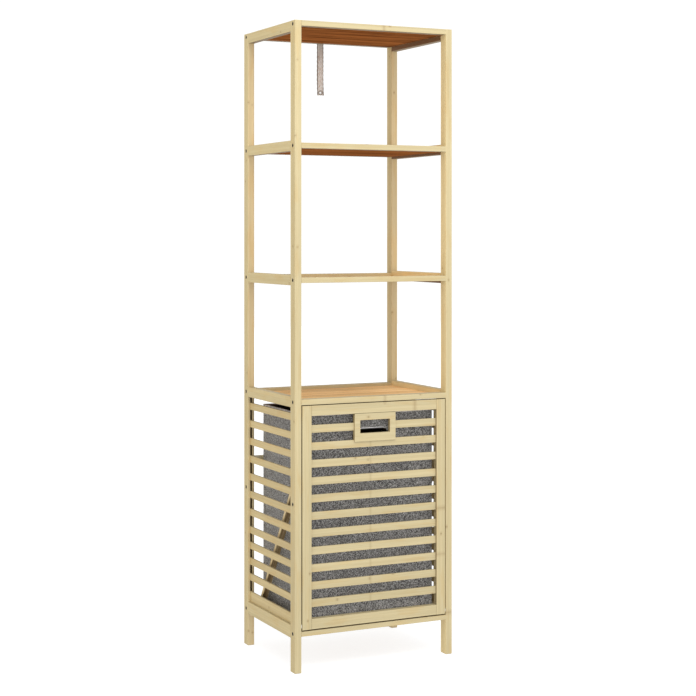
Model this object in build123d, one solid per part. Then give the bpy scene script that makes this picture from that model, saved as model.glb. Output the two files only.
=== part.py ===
from build123d import *
import math
import os

# Bamboo shelf tower with a tilt-out laundry hamper.
# Units mm.  Origin: centre of the footprint on the floor.
# +X to the viewer's right, front faces -Y, +Z up.

os.makedirs("parts", exist_ok=True)

# ---------------------------------------------------------------- overall
W = 400.0               # overall width
D = 300.0               # overall depth
H = 1455.0              # overall height
PX = 16.0               # post size across
PY = 25.0               # post size front to back
XI = W / 2 - PX         # inner face of the posts, half width (184)
YI = D / 2 - PY         # inner face of the posts, half depth (125)
EASE = 0.9              # eased long edges

# ---------------------------------------------------------------- levels
RAIL_H = 12.5           # front and back rails
SIDE_H = 23.5           # side rails
BOARD_T = 5.5           # shelf boards, flush with the underside of the rails
REBATE = 6.0            # depth of the rebate that holds a board
LEVELS = {              # underside of the front rail, underside of the side rail, bolt height
    "top": (H - RAIL_H, H - SIDE_H, H - 7.75),
    "upper": (1169.75, 1164.1, 1176.0),
    "middle": (869.0, 863.4, 875.3),
    "lower": (596.7, 591.0, 603.0),
}
BASE_SIDE = (75.3, 103.8)       # bottom side rail
BASE_RAIL = (81.0, 92.1)        # bottom front and back rail
BOLT_BASE = 86.5
BOLT_MID = 375.3                # short bolts half way up the hamper bay
MID_RAIL = (435.0, 447.5)       # stiffening rail behind the hamper

# ---------------------------------------------------------------- bolts
BOLT_R = 3.0
BOLT_HEAD_R = 4.1
BOLT_HEAD_T = 3.4
BOLT_BORE = 4.0                 # depth of the counterbore in the post
BOLT_LEN = 30.0
INSERT_R = 3.8
INSERT_L = 12.0
PIN_Y = D / 2 - PY / 2          # bolts sit on the centre line of the post (137.5)
DOWEL_R = 3.0
DOWEL_POST = 8.0
DOWEL_RAIL = 14.0

# ---------------------------------------------------------------- side slats
SLAT_X0 = 189.5                 # inner face of the side slats
SLAT_T = 5.0
SLAT_H = 16.3
GROOVE = 8.0                    # groove depth in the posts
TENON = 6.0                     # length of a slat inside the groove
SIDE_SLAT_Z = (560.4, 518.7, 476.7, 434.7, 392.7, 350.6, 308.6, 266.6, 229.4, 192.0, 154.6)
SIDE_SLAT_LAST = (BASE_SIDE[1], 128.3)

# ---------------------------------------------------------------- door
DOOR_X = 182.0                  # half width, 2 mm gap to the posts
DOOR_Z0 = 95.0
DOOR_Z1 = 594.8
DOOR_T = 15.0
DOOR_Y0 = -D / 2                # front face flush with the posts
DOOR_Y1 = DOOR_Y0 + DOOR_T
STILE = 23.0
DOOR_RAIL = 23.1
DSLAT_Y0 = DOOR_Y0 + 4.0
DSLAT_T = 5.0
DSLAT_H = 17.4
DSLAT_TOP = 533.3               # underside of the highest slat
DSLAT_PITCH = 38.97
DSLAT_N = 11
DSLAT_TENON = 6.0

# grip frame let into the door
GRIP_X = 52.0
GRIP_Z0 = 508.0
GRIP_OPEN_X = 37.8
GRIP_OPEN_Z = (526.0, 556.0)
GRIP_T = 9.0
CATCH_Z = 584.0                 # screw of the catch plate

# ---------------------------------------------------------------- tilting
PIVOT_Y = DOOR_Y0 + DOOR_T / 2
PIVOT_Z = DOOR_Z0 + 8.0
PIVOT_R = 3.0
PIVOT_FIT = 0.06                # running clearance, radial
PIVOT_POST = 10.0
PIVOT_STILE = 9.0
WASHER_R = 6.0

# ---------------------------------------------------------------- tray and braces
TRAY_X0 = 167.0
TRAY_X1 = DOOR_X
TRAY_Z0 = 97.0
TRAY_Z1 = 112.0
TRAY_Y1 = 140.0
TRAY_BAR = 15.0
PANEL_T = 4.5
PANEL_Z0 = 100.0
PANEL_IN = 5.0
BRACE_T = 8.0
BRACE_TOP_Z = 466.5             # lower front edge where it meets the door
BRACE_FOOT_Y = 87.5            # lower front edge where it meets the tray

# ---------------------------------------------------------------- bag
BAG_X = 160.0
BAG_Y0 = -133.0
BAG_Y1 = 124.4
BAG_Z0 = PANEL_Z0 + PANEL_T + 0.3
BAG_Z1 = 572.5
BAG_WALL = 3.0
HOLE_L = 74.0                   # hand hole in the front of the bag
HOLE_H = 24.0
HOLE_Z = 521.0

# ---------------------------------------------------------------- strap
STRAP_W = 17.0
STRAP_T = 1.2
STRAP_Z0 = 1317.1
STRAP_EYE_Z = 1323.6

parts = {}


def box(x0, x1, y0, y1, z0, z1):
    return Pos((x0 + x1) / 2, (y0 + y1) / 2, (z0 + z1) / 2) * Box(abs(x1 - x0), abs(y1 - y0), abs(z1 - z0))


def bar(x0, x1, y0, y1, z0, z1, axis, r=EASE):
    """a box with its four long edges eased"""
    b = box(x0, x1, y0, y1, z0, z1)
    return fillet(b.edges().filter_by(axis), r)


def rod(axis, a0, a1, p, q, r):
    """cylinder from a0 to a1 along an axis; p, q are the other two coordinates"""
    c = Cylinder(r, abs(a1 - a0))
    m = (a0 + a1) / 2
    if axis == "X":
        return Pos(m, p, q) * Rot(0, 90, 0) * c
    if axis == "Y":
        return Pos(p, m, q) * Rot(90, 0, 0) * c
    return Pos(p, q, m) * c


def put(name, shape):
    solids = shape.solids() if not isinstance(shape, list) else [s for t in shape for s in t.solids()]
    if len(solids) == 1:
        out = Solid(solids[0].wrapped)
    else:
        out = Compound(children=[Solid(s.wrapped) for s in solids])
    out.label = name
    parts[name] = out
    export_step(out, "parts/%s.step" % name)


bolt_rows = [LEVELS[k][2] for k in ("top", "upper", "middle", "lower")] + [BOLT_BASE]

# ================================================================ posts
for fb, sy in (("front", -1), ("back", 1)):
    for lr, sx in (("left", -1), ("right", 1)):
        xa, xb = sorted((sx * XI, sx * W / 2))
        ya, yb = sorted((sy * YI, sy * D / 2))
        p = bar(xa, xb, ya, yb, 0, H, Axis.Z)
        p = chamfer(p.edges().group_by(Axis.Z)[0], 0.8)
        cut = []
        for z in bolt_rows:
            cut.append(rod("X", sx * (W / 2 + 1), sx * (W / 2 - BOLT_BORE), sy * PIN_Y, z, BOLT_HEAD_R + 0.15))
            cut.append(rod("X", sx * (W / 2 - BOLT_BORE + 0.5), sx * (XI - 1), sy * PIN_Y, z, BOLT_R + 0.1))
        cut.append(rod("X", sx * (W / 2 + 1), sx * (W / 2 - BOLT_BORE), sy * PIN_Y, BOLT_MID, BOLT_HEAD_R + 0.15))
        cut.append(rod("X", sx * (W / 2 - BOLT_BORE + 0.5), sx * (W / 2 - 12.5), sy * PIN_Y, BOLT_MID, BOLT_R + 0.02))
        # groove for the side slats, only in the hamper bay
        gx0, gx1 = sorted((sx * SLAT_X0, sx * (SLAT_X0 + SLAT_T)))
        gy0, gy1 = sorted((sy * (YI - 1), sy * (YI + GROOVE)))
        cut.append(box(gx0, gx1, gy0, gy1, BASE_SIDE[1], LEVELS["lower"][1]))
        # dowel holes of the side rails
        rails = [(LEVELS[k][1], LEVELS[k][1] + SIDE_H) for k in LEVELS] + [BASE_SIDE]
        for z0, z1 in rails:
            for dz in (-6.5, 6.5):
                cut.append(rod("Y", sy * (YI - 1), sy * (YI + DOWEL_POST), sx * (W / 2 - PX / 2),
                               (z0 + z1) / 2 + dz, DOWEL_R))
        if fb == "back":
            for y in (137.5, 144.5):
                cut.append(rod("X", sx * (XI - 1), sx * (XI + 8.0), y, sum(MID_RAIL) / 2, 2.5))
        else:
            cut.append(rod("X", sx * (XI - 1), sx * (XI + PIVOT_POST), PIVOT_Y, PIVOT_Z, PIVOT_R))
        for c in cut:
            p -= c
        put("post_%s_%s" % (fb, lr), p)

# ================================================================ side rails
dowels = []
for lr, sx in (("left", -1), ("right", 1)):
    for k, (z0, z1) in {**{k: (v[1], v[1] + SIDE_H) for k, v in LEVELS.items()}, "base": BASE_SIDE}.items():
        xa, xb = sorted((sx * XI, sx * W / 2))
        r = bar(xa, xb, -YI, YI, z0, z1, Axis.Y)
        for sy in (-1, 1):
            for dz in (-6.5, 6.5):
                xc = sx * (W / 2 - PX / 2)
                zc = (z0 + z1) / 2 + dz
                r -= rod("Y", sy * (YI + 1), sy * (YI - DOWEL_RAIL), xc, zc, DOWEL_R)
                dowels.append(rod("Y", sy * (YI + DOWEL_POST - 0.3), sy * (YI - DOWEL_RAIL + 0.3), xc, zc, DOWEL_R))
        put("side_rail_%s_%s" % (k, lr), r)

# ================================================================ front and back rails, boards
bolts, inserts = [], []


def one_bolt(sx, sy, z, length):
    head_out = sx * (W / 2 - 0.4)
    head_in = sx * (W / 2 - 0.4 - BOLT_HEAD_T)
    b = rod("X", head_out, head_in, sy * PIN_Y, z, BOLT_HEAD_R)
    b += rod("X", head_in, sx * (W / 2 - BOLT_BORE - length), sy * PIN_Y, z, BOLT_R)
    hexa = Pos(head_out, sy * PIN_Y, z) * Rot(0, 90, 0) * extrude(RegularPolygon(2.3, 6), 2.2, both=True)
    b -= hexa
    return b


for k, (zf, zs, zb) in LEVELS.items():
    for fb, sy in (("front", -1), ("back", 1)):
        ya, yb = sorted((sy * YI, sy * D / 2))
        r = box(-XI, XI, ya, yb, zf, zf + RAIL_H)
        r = fillet(r.edges().filter_by(Axis.X), EASE)
        ra, rb = sorted((sy * (YI - 1), sy * (YI + REBATE)))
        r -= box(-XI - 1, XI + 1, ra, rb, zf - 1, zf + BOARD_T)
        for sx in (-1, 1):
            r -= rod("X", sx * (XI + 1), sx * (XI - 23.0), sy * PIN_Y, zb, BOLT_R + 0.1)
            r -= rod("X", sx * (XI + 1), sx * (XI - 0.4 - INSERT_L), sy * PIN_Y, zb, INSERT_R)
            ins = rod("X", sx * (XI - 0.4), sx * (XI - 0.4 - INSERT_L), sy * PIN_Y, zb, INSERT_R)
            ins -= rod("X", sx * (XI + 1), sx * (XI - 2 - INSERT_L), sy * PIN_Y, zb, BOLT_R + 0.02)
            inserts.append(ins)
            bolts.append(one_bolt(sx, sy, zb, BOLT_LEN))
        if fb == "back" and k == "top":
            # flush seat for the tether strap on the rear face
            r -= box(-STRAP_W / 2 - 0.3, STRAP_W / 2 + 0.3, D / 2 - STRAP_T - 0.4, D / 2 + 1, zf - 1, zf + RAIL_H - 2.0)
            r -= rod("Y", D / 2 + 1, D / 2 - 13.0, 0, zf + 6.2, 1.75)
        if fb == "front" and k == "lower":
            for sx in (-1, 1):
                r -= rod("Z", zf + BOARD_T - 0.5, zf + 10.5, sx * 14.0, -127.8,1.5)
        put("rail_%s_%s" % (fb, k), r)
    b = box(-XI + 0.2, XI - 0.2, -YI - REBATE + 0.1, YI + REBATE - 0.1, zf, zf + BOARD_T)
    if k == "lower":
        for sx in (-1, 1):
            b -= rod("Z", zf - 1, zf + BOARD_T + 1, sx * 14.0, -127.8,1.5)
    put("shelf_board_%s" % k, b)

for fb, sy in (("front", -1), ("back", 1)):
    ya, yb = sorted((sy * YI, sy * D / 2))
    r = bar(-XI, XI, ya, yb, BASE_RAIL[0], BASE_RAIL[1], Axis.X)
    for sx in (-1, 1):
        r -= rod("X", sx * (XI + 1), sx * (XI - 23.0), sy * PIN_Y, BOLT_BASE, BOLT_R + 0.1)
        r -= rod("X", sx * (XI + 1), sx * (XI - 0.4 - INSERT_L), sy * PIN_Y, BOLT_BASE, INSERT_R)
        ins = rod("X", sx * (XI - 0.4), sx * (XI - 0.4 - INSERT_L), sy * PIN_Y, BOLT_BASE, INSERT_R)
        ins -= rod("X", sx * (XI + 1), sx * (XI - 2 - INSERT_L), sy * PIN_Y, BOLT_BASE, BOLT_R + 0.02)
        inserts.append(ins)
        bolts.append(one_bolt(sx, sy, BOLT_BASE, BOLT_LEN))
        bolts.append(one_bolt(sx, sy, BOLT_MID, 8.0))
    put("rail_%s_base" % fb, r)

m = bar(-XI, XI, YI, D / 2, MID_RAIL[0], MID_RAIL[1], Axis.X)
mid_z = sum(MID_RAIL) / 2
for sx in (-1, 1):
    for y in (137.5, 144.5):
        m -= rod("X", sx * (XI + 1), sx * (XI - 12.0), y, mid_z, 2.5)
        dowels.append(rod("X", sx * (XI + 7.7), sx * (XI - 11.7), y, mid_z, 2.5))
put("rail_back_mid", m)

put("frame_dowels", dowels)
put("connector_bolts", bolts)
put("threaded_inserts", inserts)

# ================================================================ side slats
for lr, sx in (("left", -1), ("right", 1)):
    xa, xb = sorted((sx * SLAT_X0, sx * (SLAT_X0 + SLAT_T)))
    slats = []
    for z in SIDE_SLAT_Z:
        slats.append(bar(xa, xb, -YI - TENON, YI + TENON, z, z + SLAT_H, Axis.Y, 0.7))
    slats.append(bar(xa, xb, -YI - TENON, YI + TENON, SIDE_SLAT_LAST[0], SIDE_SLAT_LAST[1], Axis.Y, 0.7))
    put("side_slats_%s" % lr, slats)

# ================================================================ tilting door
dslat_z = [DSLAT_TOP - i * DSLAT_PITCH for i in range(DSLAT_N)]
rail_lo = (DOOR_Z0, DOOR_Z0 + DOOR_RAIL)
rail_hi = (DOOR_Z1 - DOOR_RAIL, DOOR_Z1)
SX = DOOR_X - STILE
d_dowels = []
for lr, sx in (("left", -1), ("right", 1)):
    xa, xb = sorted((sx * SX, sx * DOOR_X))
    s = bar(xa, xb, DOOR_Y0, DOOR_Y1, DOOR_Z0, DOOR_Z1, Axis.Z, 0.8)
    ga, gb = sorted((sx * (SX - 1), sx * (SX + DSLAT_TENON)))
    s -= box(ga, gb, DSLAT_Y0, DSLAT_Y0 + DSLAT_T, rail_lo[1], rail_hi[0])
    s -= rod("X", sx * (DOOR_X + 1), sx * (DOOR_X - PIVOT_STILE - 0.5), PIVOT_Y, PIVOT_Z, PIVOT_R + PIVOT_FIT)
    for z0, z1 in (rail_lo, rail_hi):
        for dz in (-6.0, 6.0):
            s -= rod("X", sx * (SX - 1), sx * (SX + 8.0), PIVOT_Y, (z0 + z1) / 2 + dz, 2.5)
            d_dowels.append(rod("X", sx * (SX + 7.7), sx * (SX - 11.7), PIVOT_Y, (z0 + z1) / 2 + dz, 2.5))
    s -= rod("Y", DOOR_Y1 + 1, DOOR_Y1 - 10.0, sx * 170.0, TRAY_Z0 + 10.3, 2.3)
    s -= rod("Y", DOOR_Y1 + 1, DOOR_Y1 - 9.0, sx * 174.5, BRACE_TOP_Z + 7.0, 1.6)
    d_dowels.append(rod("Y", DOOR_Y1 - 9.7, DOOR_Y1 + 13.7, sx * 170.0, TRAY_Z0 + 10.3, 2.3))
    put("door_stile_%s" % lr, s)

for k, (z0, z1) in (("bottom", rail_lo), ("top", rail_hi)):
    r = bar(-SX, SX, DOOR_Y0, DOOR_Y1, z0, z1, Axis.X, 0.8)
    for sx in (-1, 1):
        for dz in (-6.0, 6.0):
            r -= rod("X", sx * (SX + 1), sx * (SX - 12.0), PIVOT_Y, (z0 + z1) / 2 + dz, 2.5)
    if k == "top":
        r -= rod("Y", DOOR_Y1 + 1, DOOR_Y1 - 9.0, 0, CATCH_Z, 1.3)
    put("door_rail_%s" % k, r)

slats = []
for i, z in enumerate(dslat_z):
    if i == 0:
        for sx in (-1, 1):
            xa, xb = sorted((sx * GRIP_X, sx * (SX + DSLAT_TENON - 0.2)))
            slats.append(bar(xa, xb, DSLAT_Y0, DSLAT_Y0 + DSLAT_T, z, z + DSLAT_H, Axis.X, 0.7))
    else:
        slats.append(bar(-SX - DSLAT_TENON + 0.2, SX + DSLAT_TENON - 0.2, DSLAT_Y0, DSLAT_Y0 + DSLAT_T,
                         z, z + DSLAT_H, Axis.X, 0.7))
put("door_slats", slats)

g = box(-GRIP_X, GRIP_X, DOOR_Y0, DOOR_Y0 + GRIP_T, GRIP_Z0, rail_hi[0])
g = fillet(g.edges().filter_by(Axis.Y), 0.8)
hole = box(-GRIP_OPEN_X, GRIP_OPEN_X, DOOR_Y0 - 1, DOOR_Y0 + GRIP_T + 1, GRIP_OPEN_Z[0], GRIP_OPEN_Z[1])
hole = fillet(hole.edges().filter_by(Axis.Y), 1.5)
g -= hole
inner = [e for e in g.edges().filter_by(GeomType.LINE)
         if abs(e.center().Y - DOOR_Y0) < 0.01 and abs(e.center().X) < GRIP_OPEN_X + 0.5
         and GRIP_OPEN_Z[0] - 0.5 < e.center().Z < GRIP_OPEN_Z[1] + 0.5]
try:
    g = fillet(inner, 0.7)
except Exception:
    pass
g -= box(-GRIP_X - 1, GRIP_X + 1, DSLAT_Y0 - 0.02, DSLAT_Y0 + DSLAT_T + 2, GRIP_Z0 - 1, dslat_z[1] + DSLAT_H)
put("grip_frame", g)

# ================================================================ tray and braces
h_screws = []
for lr, sx in (("left", -1), ("right", 1)):
    xa, xb = sorted((sx * TRAY_X0, sx * TRAY_X1))
    t = bar(xa, xb, DOOR_Y1, TRAY_Y1, TRAY_Z0, TRAY_Z1, Axis.Y, 0.8)
    ga, gb = sorted((sx * (TRAY_X0 - 1), sx * (TRAY_X0 + PANEL_IN)))
    t -= box(ga, gb, DOOR_Y1 + 14.5, TRAY_Y1 - TRAY_BAR + PANEL_IN, PANEL_Z0, PANEL_Z0 + PANEL_T)
    t -= rod("Y", DOOR_Y1 - 1, DOOR_Y1 + 14.0, sx * 170.0, TRAY_Z0 + 10.3, 2.3)
    # screw into the rear bar
    t -= rod("X", sx * (TRAY_X1 + 1), sx * (TRAY_X0 - 1), TRAY_Y1 - 7.5, TRAY_Z0 + 11.0, 1.6)
    t -= rod("X", sx * (TRAY_X1 + 1), sx * (TRAY_X1 - 3.0), TRAY_Y1 - 7.5, TRAY_Z0 + 11.0, 3.2)
    sc = rod("X", sx * (TRAY_X1 - 0.4), sx * (TRAY_X1 - 3.0), TRAY_Y1 - 7.5, TRAY_Z0 + 11.0, 3.0)
    sc += rod("X", sx * (TRAY_X1 - 3.0), sx * (TRAY_X0 - 14.0), TRAY_Y1 - 7.5, TRAY_Z0 + 11.0, 1.55)
    h_screws.append(sc)
    # screw up into the foot of the brace
    t -= rod("Z", TRAY_Z0 - 1, TRAY_Z1 + 1, sx * 176.0, 91.0, 1.6)
    t -= rod("Z", TRAY_Z0 - 1, TRAY_Z0 + 2.6, sx * 176.0, 91.0, 3.2)
    sc = rod("Z", TRAY_Z0 + 0.3, TRAY_Z0 + 2.6, sx * 176.0, 91.0, 3.0)
    sc += rod("Z", TRAY_Z0 + 2.6, TRAY_Z1 + 8.0, sx * 176.0, 91.0, 1.55)
    h_screws.append(sc)
    put("tray_bar_%s" % lr, t)

    # brace: lower front edge from the door (z = BRACE_TOP_Z) to the tray (y = BRACE_FOOT_Y)
    slope = (BRACE_TOP_Z - TRAY_Z1) / (BRACE_FOOT_Y - DOOR_Y1)
    ang = math.atan(slope)
    dy = BRACE_T / math.sin(ang)
    dz = BRACE_T / math.cos(ang)
    pts = [(DOOR_Y1, BRACE_TOP_Z), (BRACE_FOOT_Y, TRAY_Z1), (BRACE_FOOT_Y + dy, TRAY_Z1), (DOOR_Y1, BRACE_TOP_Z + dz)]
    face = make_face(Polyline(*[(0, y, z) for y, z in pts], close=True))
    br = extrude(face, TRAY_X1 - TRAY_X0, dir=(1, 0, 0))
    br = Pos(xa, 0, 0) * br
    long_edges = [e for e in br.edges() if e.length > 300]
    br = fillet(long_edges, 0.8)
    br -= rod("Y", DOOR_Y1 - 1, DOOR_Y1 + 30, sx * 174.5, BRACE_TOP_Z + 7.0, 1.6)
    br -= rod("Y", DOOR_Y1 + 3.0, DOOR_Y1 + 30, sx * 174.5, BRACE_TOP_Z + 7.0, 3.0)
    br -= rod("Z", TRAY_Z1 - 1, TRAY_Z1 + 8.2, sx * 176.0, 91.0, 1.6)
    put("brace_%s" % lr, br)
    sc = rod("Y", DOOR_Y1 + 3.0, DOOR_Y1 + 4.6, sx * 174.5, BRACE_TOP_Z + 7.0, 2.9)
    sc += rod("Y", DOOR_Y1 + 3.0, DOOR_Y1 - 8.8, sx * 174.5, BRACE_TOP_Z + 7.0, 1.55)
    h_screws.append(sc)

rear = bar(-TRAY_X0, TRAY_X0, TRAY_Y1 - TRAY_BAR, TRAY_Y1, TRAY_Z0, TRAY_Z1, Axis.X, 0.8)
rear -= box(-TRAY_X0 - 1, TRAY_X0 + 1, TRAY_Y1 - TRAY_BAR - 1, TRAY_Y1 - TRAY_BAR + PANEL_IN, PANEL_Z0, PANEL_Z0 + PANEL_T)
for sx in (-1, 1):
    rear -= rod("X", sx * (TRAY_X0 + 1), sx * (TRAY_X0 - 14.3), TRAY_Y1 - 7.5, TRAY_Z0 + 11.0, 1.6)
put("tray_bar_rear", rear)

pan = box(-TRAY_X0 - PANEL_IN + 0.2, TRAY_X0 + PANEL_IN - 0.2, DOOR_Y1 + 14.7, TRAY_Y1 - TRAY_BAR + PANEL_IN - 0.2,
          PANEL_Z0, PANEL_Z0 + PANEL_T)
pan += box(-SX, SX, DOOR_Y1, DOOR_Y1 + 15.0, PANEL_Z0, PANEL_Z0 + PANEL_T)
put("tray_panel", pan)

h_screws.append(rod("Y", DOOR_Y1 + 0.6, DOOR_Y1 - 8.6, 0, CATCH_Z, 1.25))      # holds the catch plate
put("hamper_screws", h_screws)
put("hamper_dowels", d_dowels)

# ================================================================ bag
bag = box(-BAG_X, BAG_X, BAG_Y0, BAG_Y1, BAG_Z0, BAG_Z1)
bag = fillet(bag.edges().filter_by(Axis.Z), 4.5)
inn = box(-BAG_X + BAG_WALL, BAG_X - BAG_WALL, BAG_Y0 + BAG_WALL, BAG_Y1 - BAG_WALL, BAG_Z0 + BAG_WALL, BAG_Z1 + 10)
inn = fillet(inn.edges().filter_by(Axis.Z), 1.5)
bag -= inn
stad = Pos(0, BAG_Y0, HOLE_Z) * Rot(90, 0, 0) * extrude(SlotOverall(HOLE_L, HOLE_H), 8.0, both=True)
bag -= stad
put("laundry_bag", bag)

# stiff board that lies in the bottom of the bag
bb = box(-BAG_X + BAG_WALL + 2, BAG_X - BAG_WALL - 2, BAG_Y0 + BAG_WALL + 2, BAG_Y1 - BAG_WALL - 2,
         BAG_Z0 + BAG_WALL + 0.2, BAG_Z0 + BAG_WALL + 2.4)
bb = fillet(bb.edges().filter_by(Axis.Z), 5.0)
put("bag_base_board", bb)

# oval trim ring of the hand hole, clamped round the fabric
gz = HOLE_Z


def oval(l, h, y0, y1):
    return Pos(0, (y0 + y1) / 2, gz) * Rot(90, 0, 0) * extrude(SlotOverall(l, h), abs(y1 - y0) / 2, both=True)


ring = oval(HOLE_L + 7.0, HOLE_H + 7.0, BAG_Y0 - 1.5, BAG_Y0 - 0.05)
ring += oval(HOLE_L - 0.2, HOLE_H - 0.2, BAG_Y0 - 0.3, BAG_Y0 + BAG_WALL + 0.3)
ring += oval(HOLE_L + 7.0, HOLE_H + 7.0, BAG_Y0 + BAG_WALL + 0.05, BAG_Y0 + BAG_WALL + 1.5)
ring -= oval(HOLE_L - 3.5, HOLE_H - 3.5, BAG_Y0 - 4, BAG_Y0 + BAG_WALL + 4)
put("bag_grip_ring", ring)

# ================================================================ pivots
pins, wash = [], []
for sx in (-1, 1):
    pins.append(rod("X", sx * (XI + PIVOT_POST - 0.3), sx * (DOOR_X - PIVOT_STILE), PIVOT_Y, PIVOT_Z, PIVOT_R))
    w = rod("X", sx * (XI - 0.1), sx * (DOOR_X + 0.1), PIVOT_Y, PIVOT_Z, WASHER_R)
    w -= rod("X", sx * (XI + 1), sx * (DOOR_X - 1), PIVOT_Y, PIVOT_Z, PIVOT_R + 0.1)
    wash.append(w)
put("pivot_pins", pins)
put("pivot_washers", wash)

# ================================================================ magnetic catch
zc = LEVELS["lower"][0]
CX, CY0, CY1 = 20.0, -134.0, -120.0
cb = box(-CX, CX, CY0, CY1, zc - 13.0, zc)
cb = fillet(cb.edges().filter_by(Axis.Z), 2.0)
cb -= box(-9.1, 9.1, CY0 - 1, CY0 + 5.1, zc - 11.1, zc - 2.9)
c_screws = []
for sx in (-1, 1):
    cb -= rod("Z", zc - 14, zc + 1, sx * 14.0, -127.8,1.6)
    cb -= rod("Z", zc - 14, zc - 8.0, sx * 14.0, -127.8,3.1)
    sc = rod("Z", zc - 10.2, zc - 8.0, sx * 14.0, -127.8,2.9)
    sc += rod("Z", zc - 8.0, zc + 10.0, sx * 14.0, -127.8,1.45)
    c_screws.append(sc)
put("catch_housing", cb)
put("catch_magnet", box(-9.0, 9.0, CY0 - 0.3, CY0 + 5.0, zc - 11.0, zc - 3.0))
put("catch_screws", c_screws)
pl = box(-12.0, 12.0, DOOR_Y1, DOOR_Y1 + 0.6, CATCH_Z - 8.0, CATCH_Z + 8.3)
pl = fillet(pl.edges().filter_by(Axis.Y), 1.5)
pl -= rod("Y", DOOR_Y1 - 1, DOOR_Y1 + 2, 0, CATCH_Z, 1.4)
put("catch_plate", pl)

# ================================================================ tether strap
top_f = LEVELS["top"][0]
sy0, sy1 = D / 2 - STRAP_T - 0.3, D / 2 - 0.3
st = box(-STRAP_W / 2, STRAP_W / 2, sy0, sy1, STRAP_Z0, top_f + RAIL_H - 2.3)
low = [e for e in st.edges().filter_by(Axis.Y) if e.center().Z < STRAP_Z0 + 1]
st = chamfer(low, 1.2)
st -= rod("Y", sy0 - 1, sy1 + 1, 0, STRAP_EYE_Z, 2.9)
st -= rod("Y", sy0 - 1, sy1 + 1, 0, top_f + 6.2, 1.9)
put("tether_strap", st)
ey = rod("Y", sy0 - 0.5, sy0 - 0.02, 0, STRAP_EYE_Z, 4.4)
ey += rod("Y", sy0 - 0.3, sy1 + 0.1, 0, STRAP_EYE_Z, 2.85)
ey -= rod("Y", sy0 - 2, sy1 + 2, 0, STRAP_EYE_Z, 2.1)
put("strap_eyelet", ey)
sk = rod("Y", sy1 + 0.02, sy1 + 0.3, 0, top_f + 6.2, 3.6)
sk += rod("Y", sy1 + 0.1, D / 2 - 12.5, 0, top_f + 6.2, 1.7)
put("strap_screw", sk)

print(len(parts), "nodes")
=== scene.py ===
import bpy, bmesh, math, random
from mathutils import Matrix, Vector


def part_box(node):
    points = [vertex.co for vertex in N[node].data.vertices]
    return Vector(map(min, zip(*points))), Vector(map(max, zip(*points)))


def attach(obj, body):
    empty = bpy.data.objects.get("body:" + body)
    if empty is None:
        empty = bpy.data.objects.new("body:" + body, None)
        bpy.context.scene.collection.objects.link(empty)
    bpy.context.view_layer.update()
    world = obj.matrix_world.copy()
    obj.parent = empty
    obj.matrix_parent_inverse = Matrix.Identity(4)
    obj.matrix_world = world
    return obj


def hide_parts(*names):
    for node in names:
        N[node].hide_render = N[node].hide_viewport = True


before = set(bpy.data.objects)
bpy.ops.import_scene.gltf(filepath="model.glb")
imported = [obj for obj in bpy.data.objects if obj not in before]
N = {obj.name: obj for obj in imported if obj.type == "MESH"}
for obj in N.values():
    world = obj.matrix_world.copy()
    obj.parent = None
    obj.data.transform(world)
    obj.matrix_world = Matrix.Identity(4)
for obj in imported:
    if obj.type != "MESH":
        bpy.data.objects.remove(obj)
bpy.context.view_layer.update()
scene = bpy.context.scene
scene.view_settings.view_transform = "Standard"
scene.view_settings.look = "None"
scene.view_settings.exposure = 0.0
scene.view_settings.gamma = 1.0


def lin(r, g, b):
    f = lambda c: c / 12.92 if c <= 0.04045 else ((c + 0.055) / 1.055) ** 2.4
    return (f(r / 255), f(g / 255), f(b / 255), 1.0)


# ------------------------------------------------------------------ camera
PSI = 0.4503
cam_data = bpy.data.cameras.new("camera")
cam = bpy.data.objects.new("camera", cam_data)
scene.collection.objects.link(cam)
cam.location = (-1.63722, -3.39391, 0.97923)
cam.rotation_euler = (math.pi / 2, 0.0, -PSI)
cam_data.sensor_width = 36.0
cam_data.lens = 36.0 * 1595.6173 / 696.0
cam_data.shift_y = -(348.0 - 233.6204) / 696.0
cam_data.clip_start, cam_data.clip_end = 0.05, 60.0
scene.camera = cam


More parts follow.
